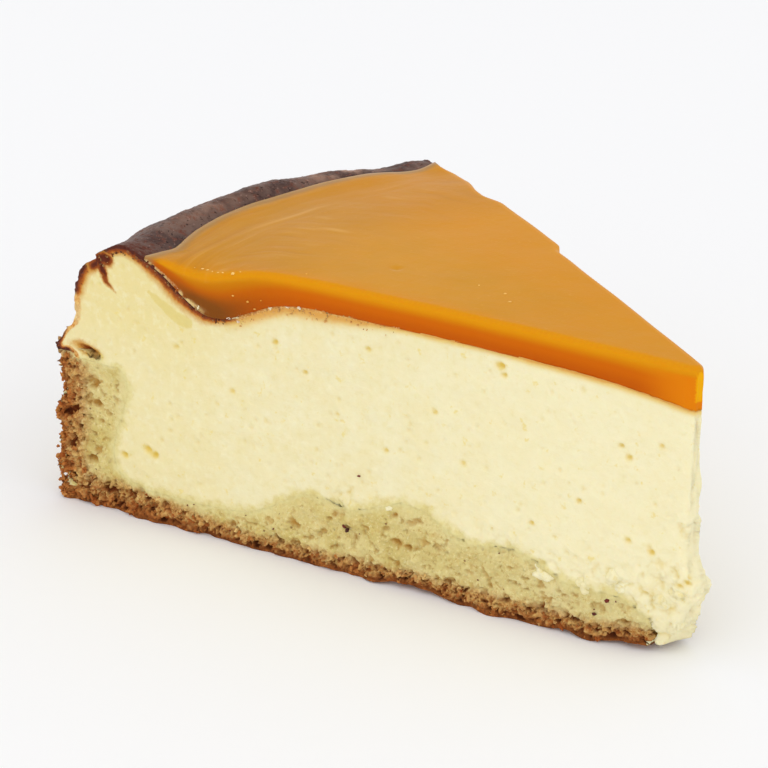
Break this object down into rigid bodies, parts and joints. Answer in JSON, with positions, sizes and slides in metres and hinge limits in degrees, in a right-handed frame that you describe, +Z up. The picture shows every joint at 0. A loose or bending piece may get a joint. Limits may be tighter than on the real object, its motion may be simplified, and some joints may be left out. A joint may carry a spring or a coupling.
{
  "type": "cake slice",
  "caption": "Wedge slice of baked cheesecake on a crumb crust, with a browned rim and a set mango glaze.",
  "frame": {"origin": "centre of the slice's footprint, on the table", "axes": "+Z up; the tip of the wedge points to +X and the rim of the cake to -X, along the longest side"},
  "size_m": [0.1312, 0.0874, 0.0543],
  "materials": {
    "crust": "dry baked crumb",
    "filling": "moist baked cheese",
    "glaze": "set fruit jelly, smooth"
  },
  "bodies": {
    "root": {"crust": "crust", "filling": "filling", "glaze": "glaze"}
  },
  "joints": []
}
